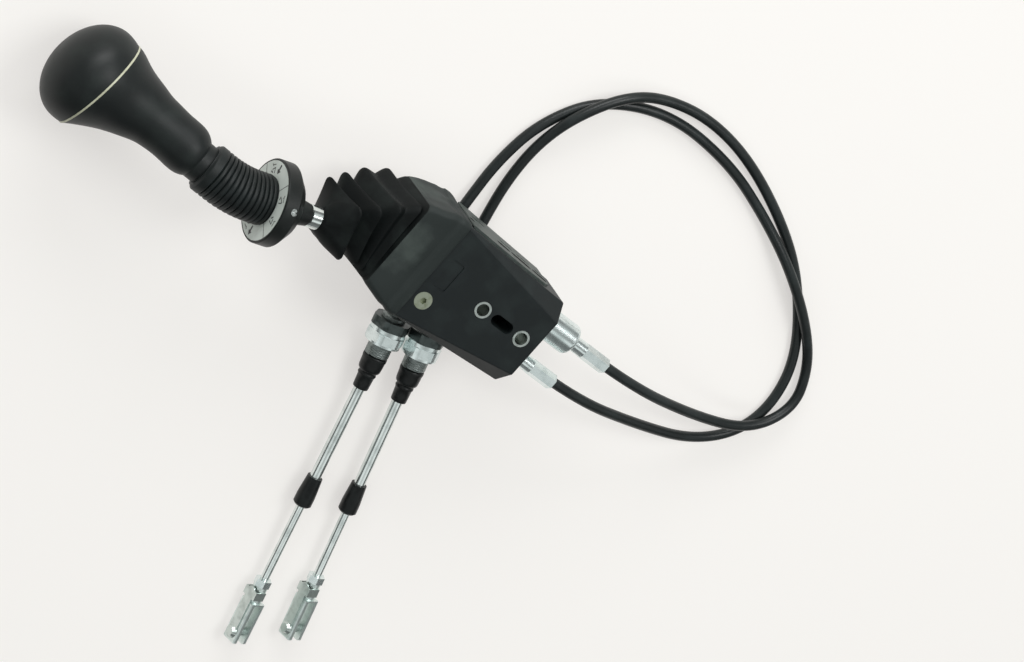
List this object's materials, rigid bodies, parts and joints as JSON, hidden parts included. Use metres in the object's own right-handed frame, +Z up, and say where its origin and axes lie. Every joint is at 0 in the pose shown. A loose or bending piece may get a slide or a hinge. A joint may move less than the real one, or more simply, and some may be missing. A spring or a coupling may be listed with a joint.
{
  "type": "cable joystick control unit",
  "caption": "Two-axis control lever with ball-headed grip, bellows boot and flat housing, working push-pull cables with threaded hubs and fork heads.",
  "frame": {"origin": "on the surface that the unit lies on, under the middle of the lever unit without its cables", "axes": "+X along the housing from the cable end towards the grip; +Y towards the side where the fork heads lie, away from the slotted cover; +Z up, out of the housing's front face"},
  "size_m": [0.5736, 0.4686, 0.086],
  "materials": {
    "housing_plastic": "satin, fine moulded grain",
    "cover_plastic": "satin moulded",
    "bush_steel": "zinc plated",
    "yellow_zinc": "yellow zinc plated",
    "boot_rubber": "matte, weathered",
    "wiper_rubber": "matte",
    "sleeve_rubber": "satin",
    "disc_plastic": "satin",
    "label_film": "printed film",
    "bright_steel": "ground",
    "grip_plastic": "semi gloss",
    "inlay_plastic": "satin",
    "cable_sheath": "semi gloss extruded sheath",
    "blue_zinc": "blue zinc plated",
    "thread_zinc": "dull zinc plated thread",
    "dark_zinc": "dark oiled zinc",
    "clip_steel": "zinc plated spring steel",
    "clevis_zinc": "passivated zinc",
    "mechanism_steel": "machined, greased"
  },
  "bodies": {
    "housing": {"boot_bellows_lower": "boot_rubber", "boot_skirt": "boot_rubber", "cable_1": "cable_sheath", "cable_1_end_socket": "blue_zinc", "cable_1_ferrule": "blue_zinc", "cable_1_hub": "thread_zinc", "cable_1_hub_boot": "boot_rubber", "cable_1_nut_front": "blue_zinc", "cable_1_nut_rear": "dark_zinc", "cable_1_washer_front": "blue_zinc", "cable_1_washer_middle": "blue_zinc", "cable_1_washer_rear": "blue_zinc", "cable_2": "cable_sheath", "cable_2_ferrule": "blue_zinc", "cable_2_hub": "thread_zinc", "cable_2_hub_boot": "boot_rubber", "cable_2_nut_front": "blue_zinc", "cable_2_nut_rear": "dark_zinc", "cable_2_washer_front": "blue_zinc", "cable_2_washer_middle": "blue_zinc", "cable_2_washer_rear": "blue_zinc", "housing_shell": "housing_plastic", "mounting_bush_lower": "bush_steel", "mounting_bush_upper": "bush_steel", "side_cover": "cover_plastic", "skirt_screw": "yellow_zinc"},
    "gimbal": {"pivot_frame": "mechanism_steel", "frame_trunnions": "mechanism_steel", "frame_ball_stud": "mechanism_steel"},
    "lever": {"lever_cross_pin": "mechanism_steel", "lever_arm": "mechanism_steel", "lever_shaft": "mechanism_steel", "lever_lock_ring": "bright_steel", "direction_disc": "disc_plastic", "disc_label": "label_film", "disc_set_screw": "bright_steel", "corrugated_sleeve": "sleeve_rubber", "grip_body": "grip_plastic", "grip_inlay_ring": "inlay_plastic", "grip_cap": "grip_plastic", "boot_bellows_upper": "boot_rubber"},
    "push_link_1": {"push_link_1": "mechanism_steel"},
    "push_link_2": {"push_link_2": "mechanism_steel"},
    "swivel_tube_1": {"cable_1_swivel_tube": "bright_steel", "cable_1_rod_wiper": "wiper_rubber"},
    "rod_1": {"cable_1_rod": "bright_steel", "cable_1_lock_nut": "blue_zinc", "cable_1_clevis": "clevis_zinc", "cable_1_clevis_pin_clip": "clip_steel"},
    "swivel_tube_2": {"cable_2_swivel_tube": "bright_steel", "cable_2_rod_wiper": "wiper_rubber"},
    "rod_2": {"cable_2_rod": "bright_steel", "cable_2_lock_nut": "blue_zinc", "cable_2_clevis": "clevis_zinc", "cable_2_clevis_pin_clip": "clip_steel"}
  },
  "joints": [
    {"name": "lever_fore_aft", "type": "hinge", "parent": "housing", "child": "gimbal", "pos_m": [-0.07212, -0.01447, 0.0435], "axis": [0, -1, 0], "range_deg": [-18, 18], "deforming": ["boot_bellows_lower"]},
    {"name": "lever_side", "type": "hinge", "parent": "gimbal", "child": "lever", "pos_m": [-0.07212, -0.01447, 0.0435], "axis": [0.1392, 0, -0.9903], "range_deg": [-3.5, 32.5], "deforming": ["boot_bellows_upper"]},
    {"name": "push_link_1_slide", "type": "slide", "parent": "housing", "child": "push_link_1", "axis": [1, 0, 0], "range_m": [-0.0052, 0.0052]},
    {"name": "push_link_2_slide", "type": "slide", "parent": "housing", "child": "push_link_2", "axis": [1, 0, 0], "range_m": [-0.0012, 0.0083]},
    {"name": "cable_1_swivel", "type": "hinge", "parent": "housing", "child": "swivel_tube_1", "pos_m": [-0.11061, 0.055, 0.0125], "axis": [0, 0, 1], "range_deg": [-6, 1.5], "deforming": ["cable_1_hub_boot"]},
    {"name": "cable_1_rod_slide", "type": "slide", "parent": "swivel_tube_1", "child": "rod_1", "axis": [-0.2874, 0.9576, -0.0208], "range_m": [-0.0052, 0.0052]},
    {"name": "cable_2_swivel", "type": "hinge", "parent": "housing", "child": "swivel_tube_2", "pos_m": [-0.13673, 0.04757, 0.0125], "axis": [0, 0, 1], "range_deg": [-1.5, 6], "deforming": ["cable_2_hub_boot"]},
    {"name": "cable_2_rod_slide", "type": "slide", "parent": "swivel_tube_2", "child": "rod_2", "axis": [-0.3208, 0.9469, -0.0221], "range_m": [-0.0083, 0.0012]}
  ],
  "couplings": [
    {"joint": "push_link_1_slide", "follows": "lever_fore_aft", "m_per_rad": -0.0151},
    {"joint": "push_link_2_slide", "follows": "lever_side", "m_per_rad": 0.01416},
    {"joint": "cable_1_rod_slide", "follows": "lever_fore_aft", "m_per_rad": 0.0151},
    {"joint": "cable_2_rod_slide", "follows": "lever_side", "m_per_rad": -0.01416}
  ]
}
